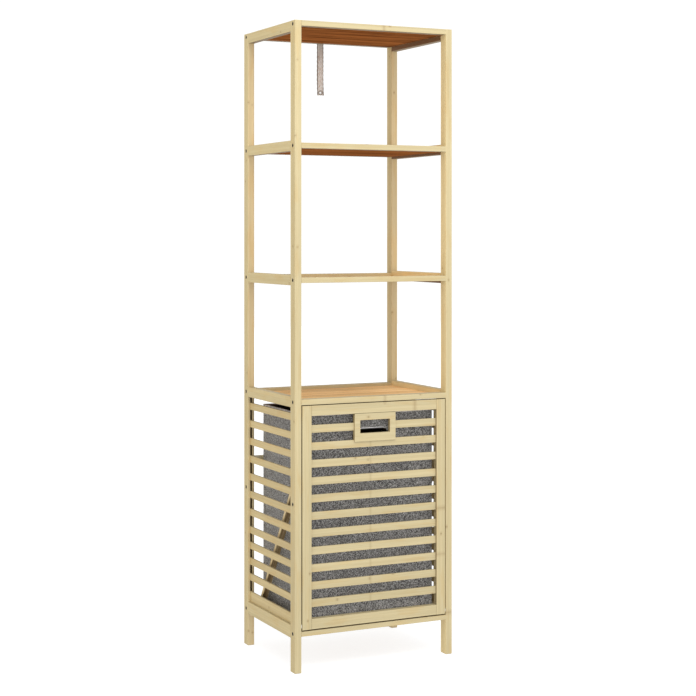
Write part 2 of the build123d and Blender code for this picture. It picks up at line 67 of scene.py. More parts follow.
# ------------------------------------------------------------------ node helper
class Mat:
    def __init__(self, name):
        self.m = bpy.data.materials.new(name)
        self.m.use_nodes = True
        self.t = self.m.node_tree
        self.t.nodes.clear()
        self.out = self.t.nodes.new("ShaderNodeOutputMaterial")
        self.b = self.t.nodes.new("ShaderNodeBsdfPrincipled")
        self.t.links.new(self.b.outputs[0], self.out.inputs[0])

    def node(self, kind, **kw):
        n = self.t.nodes.new(kind)
        for k, v in kw.items():
            setattr(n, k, v)
        return n

    def put(self, sock, v):
        if isinstance(v, bpy.types.NodeSocket):
            self.t.links.new(v, sock)
        elif v is not None:
            sock.default_value = v

    def math(self, op, a, b=None, c=None, clamp=False):
        n = self.node("ShaderNodeMath", operation=op, use_clamp=clamp)
        for s, v in zip(n.inputs, (a, b, c)):
            self.put(s, v)
        return n.outputs[0]

    def obj(self):
        return self.node("ShaderNodeTexCoord").outputs["Object"]

    def normal(self):
        return self.node("ShaderNodeTexCoord").outputs["Normal"]

    def split(self, v):
        n = self.node("ShaderNodeSeparateXYZ")
        self.put(n.inputs[0], v)
        return n.outputs

    def vec(self, x=0.0, y=0.0, z=0.0):
        n = self.node("ShaderNodeCombineXYZ")
        for s, v in zip(n.inputs, (x, y, z)):
            self.put(s, v)
        return n.outputs[0]

    def noise(self, v, scale=1.0, detail=2.0, rough=0.5, dist=0.0):
        n = self.node("ShaderNodeTexNoise")
        self.put(n.inputs["Vector"], v)
        n.inputs["Scale"].default_value = scale
        n.inputs["Detail"].default_value = detail
        n.inputs["Roughness"].default_value = rough
        n.inputs["Distortion"].default_value = dist
        return n.outputs[0]

    def white(self, v):
        n = self.node("ShaderNodeTexWhiteNoise", noise_dimensions="3D")
        self.put(n.inputs["Vector"], v)
        return n.outputs["Value"]

    def range(self, v, a, b, c=0.0, d=1.0, smooth=True):
        n = self.node("ShaderNodeMapRange", interpolation_type="SMOOTHSTEP" if smooth else "LINEAR")
        self.put(n.inputs["Value"], v)
        for k, x in zip(("From Min", "From Max", "To Min", "To Max"), (a, b, c, d)):
            n.inputs[k].default_value = x
        return n.outputs[0]

    def mix(self, f, a, b, blend="MIX"):
        n = self.node("ShaderNodeMix", data_type="RGBA", blend_type=blend, clamp_factor=True)
        self.put(n.inputs[0], f)
        self.put(n.inputs[6], a)
        self.put(n.inputs[7], b)
        return n.outputs[2]

    def gain(self, col, f):
        """colour times a number"""
        n = self.node("ShaderNodeVectorMath", operation="SCALE")
        self.put(n.inputs[0], col)
        self.put(n.inputs["Scale"], f)
        return n.outputs[0]

    def bump(self, h, distance, strength=1.0, prev=None):
        n = self.node("ShaderNodeBump")
        n.inputs["Distance"].default_value = distance
        n.inputs["Strength"].default_value = strength
        self.put(n.inputs["Height"], h)
        if prev is not None:
            self.put(n.inputs["Normal"], prev)
        return n.outputs[0]

    def set(self, **kw):
        names = dict(color="Base Color", rough="Roughness", metal="Metallic", ior="IOR", normal="Normal",
                     coat="Coat Weight", coat_rough="Coat Roughness", spec="Specular IOR Level",
                     sheen="Sheen Weight", sheen_rough="Sheen Roughness", aniso="Anisotropic")
        for k, v in kw.items():
            self.put(self.b.inputs[names[k]], v)
        return self.m


# ------------------------------------------------------------------ bamboo
# shade_tint picks a set of painted shade and light for one kind of part; shade_under gives the painted shade colours of
# a board's lower side
def bamboo(name, axis, light, dark, node_col, strip=0.005, tilt=0.0, spread=0.05, streak=0.30, shade_under=None,
           knuckle=0.42, seam=0.12, coat=0.03, rough0=0.46, spec=0.16, marks=(), shade_tint=None, keep=0.74):
    """laminated bamboo: strips along axis, each with its own tone, long fibres and knuckle marks"""
    g = Mat(name)
    p = g.obj()
    nrm = g.normal()
    ox, oy, oz = g.split(p)
    onx, ony, onz = g.split(nrm)
    if tilt:
        mp = g.node("ShaderNodeMapping", vector_type="POINT")
        mp.inputs["Rotation"].default_value = (tilt, 0, 0)
        g.put(mp.inputs["Vector"], p)
        p = mp.outputs[0]
        mn = g.node("ShaderNodeMapping", vector_type="NORMAL")
        mn.inputs["Rotation"].default_value = (tilt, 0, 0)
        g.put(mn.inputs["Vector"], nrm)
        nrm = mn.outputs[0]
    x, y, z = g.split(p)
    nx, ny, nz = g.split(nrm)
    u, a, b, nu = {"X": (x, y, z, nx), "Y": (y, x, z, ny), "Z": (z, x, y, nz)}[axis]
    ia = g.math("FLOOR", g.math("DIVIDE", g.math("ADD", a, 0.9013), strip))
    ib = g.math("FLOOR", g.math("DIVIDE", g.math("ADD", b, 0.9007), strip * 1.15))
    r1 = g.white(g.vec(ia, ib, 3.7))
    r2 = g.white(g.vec(ib, ia, 11.1))
    # knuckles, one every `knuckle` metres, staggered from strip to strip
    ku = g.math("ADD", g.math("DIVIDE", u, knuckle), g.math("MULTIPLY", r1, 7.31))
    ki = g.math("FLOOR", ku)
    kf = g.math("FRACT", ku)
    r3 = g.white(g.vec(ia, ib, ki))
    centre = g.math("ADD", 0.3, g.math("MULTIPLY", r3, 0.4))
    wob = g.noise(g.vec(g.math("MULTIPLY", a, 420), g.math("MULTIPLY", b, 420), g.math("MULTIPLY", u, 60)), 1, 2)
    shift = g.math("MULTIPLY", g.math("SUBTRACT", wob, 0.5), 0.005)
    kd = g.math("MULTIPLY", g.math("ABSOLUTE", g.math("SUBTRACT", kf, centre)), knuckle)
    kd = g.math("ADD", kd, shift)
    line = g.range(kd, 0.0006, 0.0018, 1.0, 0.0)
    halo = g.range(kd, 0.001, 0.0075, 1.0, 0.0)
    seen = g.range(r3, keep, keep + 0.1)                 # the others are planed away
    line = g.math("MULTIPLY", line, seen)
    halo = g.math("MULTIPLY", halo, seen)
    # single knuckles at known places: (x, y, z, half length along the bar, reach across, strength)
    for mx, my, mz, hl, rc, st in marks:
        c3 = {"X": (mx, my, mz), "Y": (my, mx, mz), "Z": (mz, mx, my)}[axis]
        du = g.math("ABSOLUTE", g.math("ADD", g.math("SUBTRACT", u, c3[0]), g.math("MULTIPLY", shift, 0.5)))
        da = g.math("ABSOLUTE", g.math("SUBTRACT", a, c3[1]))
        db = g.math("ABSOLUTE", g.math("SUBTRACT", b, c3[2]))
        near = g.math("MULTIPLY", g.range(da, rc * 0.7, rc, 1.0, 0.0), g.range(db, rc * 0.7, rc, 1.0, 0.0))
        near = g.math("MULTIPLY", near, st * 1.35)
        line = g.math("MAXIMUM", line, g.math("MULTIPLY", g.math("MULTIPLY", near, wob), g.range(du, 0.0006, 0.0022, 0.9, 0.0)))
        halo = g.math("MAXIMUM", halo, g.math("MULTIPLY", near, g.range(du, 0.0, hl, 1.15, 0.0)))
    # fibres
    bend = g.math("MULTIPLY", g.math("SUBTRACT", g.noise(g.vec(g.math("MULTIPLY", a, 25), g.math("MULTIPLY", b, 25),
                  g.math("MULTIPLY", u, 9)), 1, 1), 0.5), 0.004)
    a2, b2 = g.math("ADD", a, bend), g.math("ADD", b, bend)
    long_f = g.noise(g.vec(g.math("MULTIPLY", a2, 520), g.math("MULTIPLY", b2, 520), g.math("MULTIPLY", u, 7)), 1, 4, 0.6)
    fine_f = g.noise(g.vec(g.math("MULTIPLY", a2, 1900), g.math("MULTIPLY", b2, 1900), g.math("MULTIPLY", u, 34)), 1, 3, 0.6)
    slow = g.noise(g.vec(g.math("MULTIPLY", a, 14), g.math("MULTIPLY", b, 14), g.math("MULTIPLY", u, 2.6)), 1, 2)
    f1 = g.range(long_f, 0.36, 0.66)
    f2 = g.range(fine_f, 0.56, 0.72)
    col = g.mix(g.math("MULTIPLY", f1, streak), light, dark)
    col = g.mix(g.math("MULTIPLY", f2, streak * 0.45), col, node_col)
    tone = g.math("ADD", 1.0 - spread, g.math("MULTIPLY", r2, 2.0 * spread))
    tone = g.math("MULTIPLY", tone, g.range(slow, 0.25, 0.75, 0.95, 1.05, False))
    col = g.gain(col, tone)
    warm = g.mix(g.math("MULTIPLY", r1, 0.16), col, g.mix(1.0, col, (1.04, 0.95, 0.84, 1), "MULTIPLY"))
    # warmer patches that run with the grain
    patch = g.noise(g.vec(g.math("MULTIPLY", a, 70), g.math("MULTIPLY", b, 70), g.math("MULTIPLY", u, 13)), 1, 2)
    warm = g.mix(g.math("MULTIPLY", g.range(patch, 0.50, 0.68), 0.45), warm, g.mix(1.0, warm, (0.99, 0.88, 0.72, 1), "MULTIPLY"))
    col = g.mix(g.math("MULTIPLY", halo, 0.22), warm, node_col)
    col = g.mix(g.math("MULTIPLY", line, 0.36), col, node_col)
    # thin glue seams between strips
    fa = g.math("FRACT", g.math("DIVIDE", g.math("ADD", a, 0.9013), strip))
    fb = g.math("FRACT", g.math("DIVIDE", g.math("ADD", b, 0.9007), strip * 1.15))
    e = 0.05
    sa = g.math("ADD", g.math("LESS_THAN", fa, e), g.math("LESS_THAN", fb, e), clamp=True)
    col = g.mix(g.math("MULTIPLY", sa, seam), col, node_col)
    # end grain: bundles of vessels as dark dots
    dots = g.noise(g.vec(g.math("MULTIPLY", a, 1500), g.math("MULTIPLY", b, 1500), 0.0), 1, 2)
    endc = g.mix(g.range(dots, 0.5, 0.62), g.gain(col, 0.84), node_col)
    col = g.mix(g.range(g.math("ABSOLUTE", nu), 0.6, 0.8), col, endc)
    if shade_under is not None:
        # painted shade: the lower side of a board is darker, with long dark streaks
        band = g.noise(g.vec(g.math("MULTIPLY", a, 130), g.math("MULTIPLY", b, 130), g.math("MULTIPLY", u, 5)), 1, 3, 0.65)
        u_col = g.mix(g.range(band, 0.40, 0.66), shade_under[0], shade_under[1])
        u_col = g.mix(g.math("MULTIPLY", f2, 0.35), u_col, shade_under[1])
        u_col = g.gain(u_col, tone)
        col = g.mix(g.range(nz, -0.45, -0.65), col, u_col)
        # board tops: darker streaks along the grain, and painted light that makes the top up to 22 % lighter towards
        # the right (+x)
        t_col = g.mix(g.math("MULTIPLY", g.range(band, 0.50, 0.70), 0.55), col, dark)
        col = g.mix(g.range(nz, 0.45, 0.65), col, g.gain(t_col, g.range(ox, 0.02, 0.18, 1.0, 1.22)))
    # painted shade: dark brown streaks over the brace; the faces along x are painted light again below, so the streaks
    # stay on the shaded front and lower faces
    if shade_tint == "brace":
        col = g.mix(g.range(long_f, 0.42, 0.58, 0.10, 0.75), col, lin(120, 88, 52))
    if shade_tint == "post":
        # painted shade: the walls of the slat groove are made dark brown
        ax_ = g.math("ABSOLUTE", ox)
        inx = g.math("MULTIPLY", g.range(ax_, 0.1889, 0.1893), g.range(ax_, 0.1947, 0.1951, 1.0, 0.0))
        inz = g.math("MULTIPLY", g.range(oz, 0.101, 0.104), g.range(oz, 0.590, 0.592, 1.0, 0.0))
        iny = g.range(g.math("ABSOLUTE", oy), 0.1252, 0.1262)
        iny = g.math("MULTIPLY", iny, g.range(g.math("ABSOLUTE", oy), 0.1335, 0.1345, 1.0, 0.0))
        groove_shade = g.math("MULTIPLY", g.math("MULTIPLY", inx, inz), iny)
        col = g.mix(g.math("MULTIPLY", groove_shade, 0.88), col, lin(56, 34, 20))
        # tint after the photograph's light: back faces and the right posts' inner faces are lighter there
        back = g.math("MULTIPLY", g.range(ony, -0.6, -0.8), g.math("GREATER_THAN", oy, 0.0))
        inn_ = g.math("MULTIPLY", g.range(onx, -0.6, -0.8), g.math("GREATER_THAN", ox, 0.0))
        inn_ = g.math("MULTIPLY", inn_, g.math("LESS_THAN", oy, 0.0))
        lift = g.math("ADD", g.math("MULTIPLY", back, 0.15), g.math("MULTIPLY", inn_, 0.28))
        col = g.gain(col, g.math("ADD", 1.0, lift))
        col = g.mix(back, col, g.mix(1.0, col, (1.0, 0.955, 0.94, 1), "MULTIPLY"))
    if shade_tint == "stile":
        # painted shade: the outer side of the stile, in the gap beside the post, is darkened
        side = g.range(g.math("ABSOLUTE", ox), 0.18175, 0.1819)
        col = g.mix(g.math("MULTIPLY", side, 0.85), col, lin(70, 56, 38))
        # painted shade: the inner side, past the slats, is browner
        insd = g.math("MULTIPLY", g.range(g.math("ABSOLUTE", ox), 0.1596, 0.1592), g.range(g.math("ABSOLUTE", onx), 0.6, 0.8))
        col = g.mix(g.math("MULTIPLY", insd, 0.45), col, lin(120, 88, 54))
    if shade_tint in ("front", "stile"):
        # thin shadow lines where door members meet
        axx = g.math("ABSOLUTE", ox)
        j1 = g.math("MULTIPLY", g.range(g.math("ABSOLUTE", g.math("SUBTRACT", oz, 0.5717)), 0.0002, 0.0009, 1.0, 0.0),
                    g.math("LESS_THAN", axx, 0.0521))
        j2 = g.math("MULTIPLY", g.range(g.math("ABSOLUTE", g.math("SUBTRACT", axx, 0.1590)), 0.0002, 0.0008, 1.0, 0.0),
                    g.math("MULTIPLY", g.math("LESS_THAN", oz, 0.5949), g.math("GREATER_THAN", oz, 0.094)))
        j = g.math("MULTIPLY", g.math("MAXIMUM", j1, g.math("MULTIPLY", j2, 0.45)), g.math("LESS_THAN", oy, -0.1335))
        col = g.mix(g.math("MULTIPLY", j, 0.85), col, lin(70, 52, 32))
    if shade_tint == "brace":
        # painted light: the sawn outer sides (faces along x) are set back to the light colour
        col = g.mix(g.range(g.math("ABSOLUTE", onx), 0.6, 0.8), col, g.gain(light[:3], tone))
    if shade_tint == "side":
        # tint after the photograph's light: inner side of a side rail is browner below a board, lighter above
        inner = g.math("MULTIPLY", g.range(g.math("ABSOLUTE", ox), 0.1846, 0.1842), g.range(g.math("ABSOLUTE", onx), 0.6, 0.8))
        below = None
        for lo, hi in ((1.4300, 1.4425), (1.1630, 1.16975), (0.8620, 0.8690), (0.5900, 0.5967)):
            w_ = g.math("MULTIPLY", g.math("GREATER_THAN", oz, lo), g.math("LESS_THAN", oz, hi))
            below = w_ if below is None else g.math("ADD", below, w_, clamp=True)
        col = g.mix(g.math("MULTIPLY", g.math("MULTIPLY", inner, below), 0.94), col, lin(112, 76, 44))
        above = g.math("MULTIPLY", inner, g.math("SUBTRACT", 1.0, below))
        col = g.gain(col, g.math("ADD", 1.0, g.math("MULTIPLY", above, 0.30)))
    if shade_under is None:
        # painted shade, after the photograph's light: lower faces darker, outer sides warmer and darker, darker towards
        # the floor
        col = g.mix(g.math("MULTIPLY", g.range(onz, -0.5, -0.8), 0.78), col, lin(92, 64, 36))
        col = g.mix(g.range(g.math("ABSOLUTE", onx), 0.6, 0.8), col, g.mix(1.0, col, (0.99, 0.945, 0.84, 1), "MULTIPLY"))
        col = g.gain(col, g.range(oz, 0.0, 1.15, 0.875, 1.0, False))
    # painted highlight: a lighter line along the edges, as the sharpened photograph shows it
    wide = g.node("ShaderNodeBevel", samples=4)
    wide.inputs["Radius"].default_value = 0.0026
    dot = g.node("ShaderNodeVectorMath", operation="DOT_PRODUCT")
    g.put(dot.inputs[0], wide.outputs[0])
    g.put(dot.inputs[1], g.node("ShaderNodeNewGeometry").outputs["Normal"])
    edge = g.range(dot.outputs["Value"], 0.985, 0.80)
    col = g.mix(g.math("MULTIPLY", edge, 0.85), col, g.gain(col, 1.24))
    bevel = g.node("ShaderNodeBevel", samples=4)
    bevel.inputs["Radius"].default_value = 0.0009
    rough = g.math("ADD", rough0, g.math("MULTIPLY", fine_f, 0.20))
    h = g.math("ADD", g.math("MULTIPLY", long_f, 0.6), g.math("MULTIPLY", fine_f, 0.5))
    h = g.math("SUBTRACT", h, g.math("MULTIPLY", sa, 0.25))
    h = g.math("ADD", h, g.math("MULTIPLY", halo, 0.35))
    return g.set(color=col, rough=rough, coat=coat, coat_rough=0.32, spec=spec,
                 normal=g.bump(h, 0.00020, 0.5, bevel.outputs[0]))


LIGHT, DARK, KNOT = lin(208, 194, 154), lin(188, 168, 122), lin(136, 104, 64)
mats = {}
mats["rail_X"] = bamboo("bamboo_X", "X", LIGHT, DARK, KNOT, shade_tint="front", marks=[
    (0.0225, -0.1375, 1.4490, 0.008, 0.016, 0.8), (0.0250, -0.1375, 0.6030, 0.008, 0.016, 0.7),
    (0.1020, -0.1425, 0.5830, 0.009, 0.018, 0.7)])
mats["slat_X"] = bamboo("bamboo_slat", "X", LIGHT, DARK, KNOT, keep=0.75, marks=[
    (-0.0105, -0.1435, 0.3400, 0.006, 0.30, 0.35)])
mats["rail_Y"] = bamboo("bamboo_Y", "Y", LIGHT, DARK, KNOT, shade_tint="side")
mats["slat_Y"] = bamboo("bamboo_side_slat", "Y", lin(208, 191, 148), DARK, KNOT, keep=0.72, streak=0.4)
mats["rail_Z"] = bamboo("bamboo_Z", "Z", LIGHT, DARK, KNOT, shade_tint="post", marks=[
    (0.192, -0.1375, 0.0975, 0.010, 0.020, 0.7), (0.192, 0.1375, 1.195, 0.010, 0.020, 0.6)])
mats["stile"] = bamboo("bamboo_stile", "Z", LIGHT, DARK, KNOT, shade_tint="stile", marks=[
    (0.1705, -0.1425, 0.3420, 0.010, 0.020, 0.7), (0.1705, -0.1425, 0.2350, 0.009, 0.020, 0.5)])
mats["brace"] = bamboo("bamboo_brace", "Y", lin(224, 204, 162), lin(166, 130, 80), lin(100, 68, 38), shade_tint="brace",
                       tilt=math.atan(354.5 / 222.5), streak=0.5)
mats["board"] = bamboo("bamboo_board", "X", lin(246, 212, 158), lin(210, 160, 104), lin(120, 72, 36), strip=0.019,
                       spread=0.13, streak=0.6, seam=0.30, shade_under=(lin(152, 94, 50), lin(92, 52, 26)), knuckle=0.36,
                       coat=0.0, rough0=0.60, spec=0.0)
mats["panel"] = bamboo("bamboo_panel", "X", lin(206, 172, 118), lin(180, 140, 86), KNOT, strip=0.019, spread=0.10)

# ------------------------------------------------------------------ metals and plastics
g = Mat("dark_steel")
p = g.obj()
w = g.noise(p, 900, 3)
mats["dark_steel"] = g.set(color=g.mix(g.range(w, 0.4, 0.7), lin(20, 17, 15), lin(40, 35, 30)), metal=0.5,
                           rough=g.range(w, 0.3, 0.7, 0.32, 0.5), normal=g.bump(w, 0.00005, 0.4))
g = Mat("zinc_steel")
p = g.obj()
w = g.noise(p, 500, 3)
mats["zinc_steel"] = g.set(color=g.mix(g.range(w, 0.35, 0.65), lin(186, 186, 182), lin(150, 152, 154)), metal=1.0,
                           rough=g.range(w, 0.3, 0.7, 0.25, 0.42), normal=g.bump(w, 0.00004, 0.3))
g = Mat("ferrite")
w = g.noise(g.obj(), 1500, 3)
mats["ferrite"] = g.set(color=g.mix(g.range(w, 0.4, 0.6), lin(46, 46, 48), lin(64, 64, 66)), rough=0.55,
                        metal=0.3, normal=g.bump(w, 0.00005, 0.5))
g = Mat("catch_plastic")
w = g.noise(g.obj(), 1800, 2)
mats["catch_plastic"] = g.set(color=g.mix(g.range(w, 0.3, 0.7), lin(214, 206, 186), lin(206, 196, 174)), rough=0.5,
                              normal=g.bump(w, 0.00004, 0.4))
g = Mat("nylon")
w = g.noise(g.obj(), 1400, 2)
mats["nylon"] = g.set(color=g.mix(g.range(w, 0.3, 0.7), lin(236, 234, 226), lin(226, 222, 212)), rough=0.42,
                      normal=g.bump(w, 0.00003, 0.4))
g = Mat("dowel_wood")
x, y, z = g.split(g.obj())
w = g.noise(g.vec(g.math("MULTIPLY", x, 300), g.math("MULTIPLY", y, 300), g.math("MULTIPLY", z, 300)), 1, 3)
mats["dowel_wood"] = g.set(color=g.mix(w, lin(214, 184, 140), lin(190, 152, 104)), rough=0.6, normal=g.bump(w, 0.0001, 0.4))
g = Mat("ring_metal")
w = g.noise(g.obj(), 260, 2)
mats["ring_metal"] = g.set(color=g.mix(g.range(w, 0.3, 0.7), lin(116, 114, 114), lin(98, 96, 97)), metal=1.0,
                           rough=g.range(w, 0.3, 0.7, 0.10, 0.16))
# painted highlight: the upper shoulder of the ring is painted near-white and not metallic, where it would catch the
# light
x, y, z = g.split(g.obj())
nx, ny, nz = g.split(g.normal())
painted_glint = g.math("MULTIPLY", g.math("MULTIPLY", g.range(nz, 0.30, 0.55), g.range(ny, 0.2, -0.1)), g.range(z, 0.5290, 0.5310))
painted_glint = g.math("MULTIPLY", painted_glint, g.range(g.math("ABSOLUTE", x), 0.0300, 0.0355, 1.0, 0.0))
g.set(color=g.mix(painted_glint, g.mix(g.range(w, 0.3, 0.7), lin(92, 90, 91), lin(76, 74, 76)), lin(252, 252, 252)),
      metal=g.math("SUBTRACT", 1.0, painted_glint))


# ------------------------------------------------------------------ cloth
def felt(name, base, dark, lightc, sheen=0.25, fleck=0.5, side=0.0):
    g = Mat(name)
    p = g.obj()
    n1 = g.noise(p, 300, 3, 0.6)
    n2 = g.noise(p, 620, 3, 0.65)
    n3 = g.noise(p, 1500, 2, 0.6)
    n4 = g.noise(p, 22, 2)
    # short crossing fibres
    x, y, z = g.split(p)
    fib = g.node("ShaderNodeTexVoronoi", feature="DISTANCE_TO_EDGE")
    g.put(fib.inputs["Vector"], g.vec(g.math("MULTIPLY", x, 480), g.math("MULTIPLY", y, 480), g.math("MULTIPLY", z, 300)))
    fib = g.range(fib.outputs["Distance"], 0.0, 0.12, 1.0, 0.0)
    f = g.math("ADD", g.math("MULTIPLY", n1, 0.5), g.math("MULTIPLY", n2, 0.5))
    col = g.mix(g.range(f, 0.43, 0.57), dark, base)
    col = g.mix(g.math("MULTIPLY", g.range(n2, 0.56, 0.68), fleck), col, lightc)
    col = g.mix(g.math("MULTIPLY", g.range(n3, 0.58, 0.72), fleck * 0.6), col, dark)
    col = g.gain(col, g.range(n4, 0.3, 0.7, 0.93, 1.07, False))
    # painted light: faces along x (the bag's side panels) are made lighter by the factor 1 + side
    side_light_gain = g.range(g.math("ABSOLUTE", g.split(g.normal())[0]), 0.6, 0.8, 1.0, 1.0 + side)
    col = g.gain(col, side_light_gain)
    h = g.math("ADD", g.math("MULTIPLY", n2, 0.7), g.math("MULTIPLY", n3, 0.4))
    h = g.math("ADD", h, g.math("MULTIPLY", fib, 0.2))
    return g.set(color=col, rough=0.92, sheen=sheen, sheen_rough=0.5, spec=0.25, normal=g.bump(h, 0.0006, 0.6))


mats["cloth"] = felt("bag_cloth", lin(152, 150, 147), lin(72, 70, 69), lin(238, 237, 235), 0.3, 0.85, 0.42)
# painted shade: the lining, the inner face of the bag, is much darker than the cloth outside
mats["lining"] = felt("bag_lining", lin(84, 82, 80), lin(56, 55, 54), lin(112, 110, 108), 0.15, 0.4)
mats["binding"] = felt("bag_binding", lin(226, 218, 210), lin(196, 188, 180), lin(240, 236, 230), 0.2, 0.3)
mats["base_board"] = felt("bag_base", lin(60, 58, 58), lin(42, 41, 41), lin(84, 82, 80), 0.1, 0.3)

g = Mat("strap_webbing")
x, y, z = g.split(g.obj())
rib = g.math("SINE", g.math("MULTIPLY", x, 2 * math.pi / 0.0014))
pick = g.math("SINE", g.math("ADD", g.math("MULTIPLY", z, 2 * math.pi / 0.0011), g.math("MULTIPLY", rib, 1.4)))
wv = g.math("ADD", g.math("MULTIPLY", rib, 0.5), g.math("MULTIPLY", pick, 0.5))
nz_ = g.noise(g.obj(), 180, 3)
c = g.mix(g.range(wv, -0.8, 0.8), lin(250, 244, 238), lin(255, 254, 252))
c = g.mix(g.math("MULTIPLY", g.range(nz_, 0.35, 0.65), 0.12), c, lin(170, 158, 146))
# darker woven edges, and darker towards the top
c = g.mix(g.math("MULTIPLY", g.range(g.math("ABSOLUTE", x), 0.0054, 0.0074), 0.78), c, lin(112, 94, 74))
de = g.math("SQRT", g.math("ADD", g.math("POWER", x, 2.0), g.math("POWER", g.math("SUBTRACT", z, 1.3236), 2.0)))
c = g.mix(g.math("MULTIPLY", g.math("MULTIPLY", g.range(de, 0.0040, 0.0046), g.range(de, 0.0056, 0.0066, 1.0, 0.0)), 0.75), c, lin(80, 68, 56))
c = g.mix(g.range(z, 1.37, 1.44, 0.0, 0.35), c, lin(110, 98, 84))
mats["strap"] = g.set(color=c, rough=0.8, sheen=0.2, sheen_rough=0.5, spec=0.3, normal=g.bump(wv, 0.0003, 0.7))
g = Mat("thread")
w = g.noise(g.obj(), 1600, 2)
mats["thread"] = g.set(color=g.mix(w, lin(150, 147, 143), lin(104, 101, 98)), rough=0.8)

# ------------------------------------------------------------------ materials of the CAD nodes
GROUP = {
    "connector_bolts": "dark_steel", "threaded_inserts": "zinc_steel", "hamper_screws": "zinc_steel",
    "catch_screws": "zinc_steel", "strap_screw": "zinc_steel", "strap_eyelet": "zinc_steel", "catch_plate": "zinc_steel",
    "pivot_pins": "zinc_steel", "catch_magnet": "ferrite", "catch_housing": "catch_plastic", "pivot_washers": "nylon",
    "frame_dowels": "dowel_wood", "hamper_dowels": "dowel_wood", "bag_base_board": "base_board", "tray_panel": "panel",
    "tray_bar_rear": "rail_X", "tray_bar_left": "rail_Y", "tray_bar_right": "rail_Y", "brace_left": "brace",
    "brace_right": "brace", "grip_frame": "rail_X", "door_slats": "slat_X", "side_slats_left": "slat_Y",
    "side_slats_right": "slat_Y",
}


def group_of(n):
    if n in GROUP:
        return GROUP[n]
    if n.startswith("shelf_board"):
        return "board"
    if n.startswith("post_"):
        return "rail_Z"
    if n.startswith("door_stile"):
        return "stile"
    if n.startswith("side_rail"):
        return "rail_Y"
    if n.startswith(("rail_", "door_rail")):
        return "rail_X"
    return None


for n, o in N.items():
    k = group_of(n)
    if k:
        o.data.materials.clear()
        o.data.materials.append(mats[k])


def smooth(o, angle=35):
    for f in o.data.polygons:
        f.use_smooth = True
    o.data.set_sharp_from_angle(angle=math.radians(angle))


def mesh_object(name, verts, faces, mat, smooth_faces=True):
    me = bpy.data.meshes.new(name)
    me.from_pydata(verts, [], faces)
    me.validate()
    me.update()
    o = bpy.data.objects.new(name, me)
    scene.collection.objects.link(o)
    for m in (mat if isinstance(mat, (list, tuple)) else [mat]):
        me.materials.append(m)
    if smooth_faces:
        for f in me.polygons:
            f.use_smooth = True
    return o


# ------------------------------------------------------------------ bag
BX, BY0, BY1, BZ0, BZ1 = 0.160, -0.133, 0.1246, 0.1051, 0.5723
SHIFT = 0.0022                  # the bag stands a little to the left in its tray
HOLE_L, HOLE_H, HOLE_Z = 0.0755, 0.0255, 0.5210
rng = random.Random(7)


def round_rect(step):
    """points and outward normals round the bag's outline, starting at the middle of the front, anticlockwise from above"""
    r = 0.0028
    hx, y0, y1 = BX - 0.0004, BY0 + 0.0004, BY1 - 0.0004
    seg = []
    corners = [((hx - r), (y0 + r), -90), ((hx - r), (y1 - r), 0), (-(hx - r), (y1 - r), 90), (-(hx - r), (y0 + r), 180)]
    pts = []

    def line(p, q, nrm):
        n = max(1, round((Vector(q) - Vector(p)).length / step))
        for i in range(n):
            t = i / n
            pts.append((p[0] + (q[0] - p[0]) * t, p[1] + (q[1] - p[1]) * t, nrm[0], nrm[1]))

    def arc(cx, cy, a0):
        n = 6
        for i in range(n):
            a = math.radians(a0 + 90 * i / n)
            pts.append((cx + r * math.cos(a), cy + r * math.sin(a), math.cos(a), math.sin(a)))

    line((0, y0), (hx - r, y0), (0, -1))
    arc(*corners[0])
    line((hx, y0 + r), (hx, y1 - r), (1, 0))
    arc(*corners[1])
    line((hx - r, y1), (-(hx - r), y1), (0, 1))
    arc(*corners[2])
    line((-hx, y1 - r), (-hx, y0 + r), (-1, 0))
    arc(*corners[3])
    line((-(hx - r), y0), (0, y0), (0, -1))
    return pts


def wave(x, y, z):
    """gentle slack of the cloth, in metres, always inwards"""
    s = 0.0
    for k, (fx, fy, fz, ph, am) in enumerate(WAVES):
        s += am * math.sin(fx * x + fy * y + fz * z + ph)
    return s


WAVES = [(rng.uniform(8, 26), rng.uniform(8, 26), rng.uniform(4, 18), rng.uniform(0, 6.28), rng.uniform(0.15, 0.4)) for _ in range(9)]


def bag_point(px, py, nx, ny, z, offset=0.0):
    h = (z - BZ0) / (BZ1 - BZ0)
    # distance to the nearest vertical corner, so that corners stay straight
    flat = min(1.0, max(0.0, (1.0 - max(abs(px) / BX if abs(ny) > 0.9 else 0.0,
                                        abs((py - (BY0 + BY1) / 2) / ((BY1 - BY0) / 2)) if abs(nx) > 0.9 else 0.0)) / 0.35))
    if abs(nx) < 0.9 and abs(ny) < 0.9:
        flat = 0.0
    body = math.sin(math.pi * min(1.0, max(0.0, h))) ** 0.6
    sag = 0.0026 * flat * body * (0.55 + 0.45 * wave(px, py, z))
    sag += 0.0009 * flat * (0.5 + 0.5 * math.sin(31 * (px + py) + 3 * z))
    if ny < -0.9:
        # the front panel stays flat round the hand hole
        sag *= min(1.0, max(0.0, (Vector((px, (z - HOLE_Z))).length - 0.055) / 0.06))
    d = -sag + offset
    dz = 0.0
    if h > 0.9:
        dz = -0.0016 * (h - 0.9) / 0.1 * flat * (0.5 + 0.5 * math.sin(23 * px + 17 * py + 1.0))
    return (px + nx * d - SHIFT, py + ny * d, z + dz)


ring_pts = round_rect(0.0055)
M = len(ring_pts)
zs = [BZ0 + (BZ1 - BZ0) * i / 88 for i in range(89)]
verts, faces = [], []
for z in zs:
    for q in ring_pts:
        lip = 0.0
        if z < BZ0 + 0.012:      # soft lower edge
            lip = -0.0012 * (1 - (z - BZ0) / 0.012) ** 2
        verts.append(bag_point(*q, z, lip))
for j in range(len(zs) - 1):
    for i in range(M):
        k = (i + 1) % M
        faces.append((j * M + i, j * M + k, (j + 1) * M + k, (j + 1) * M + i))


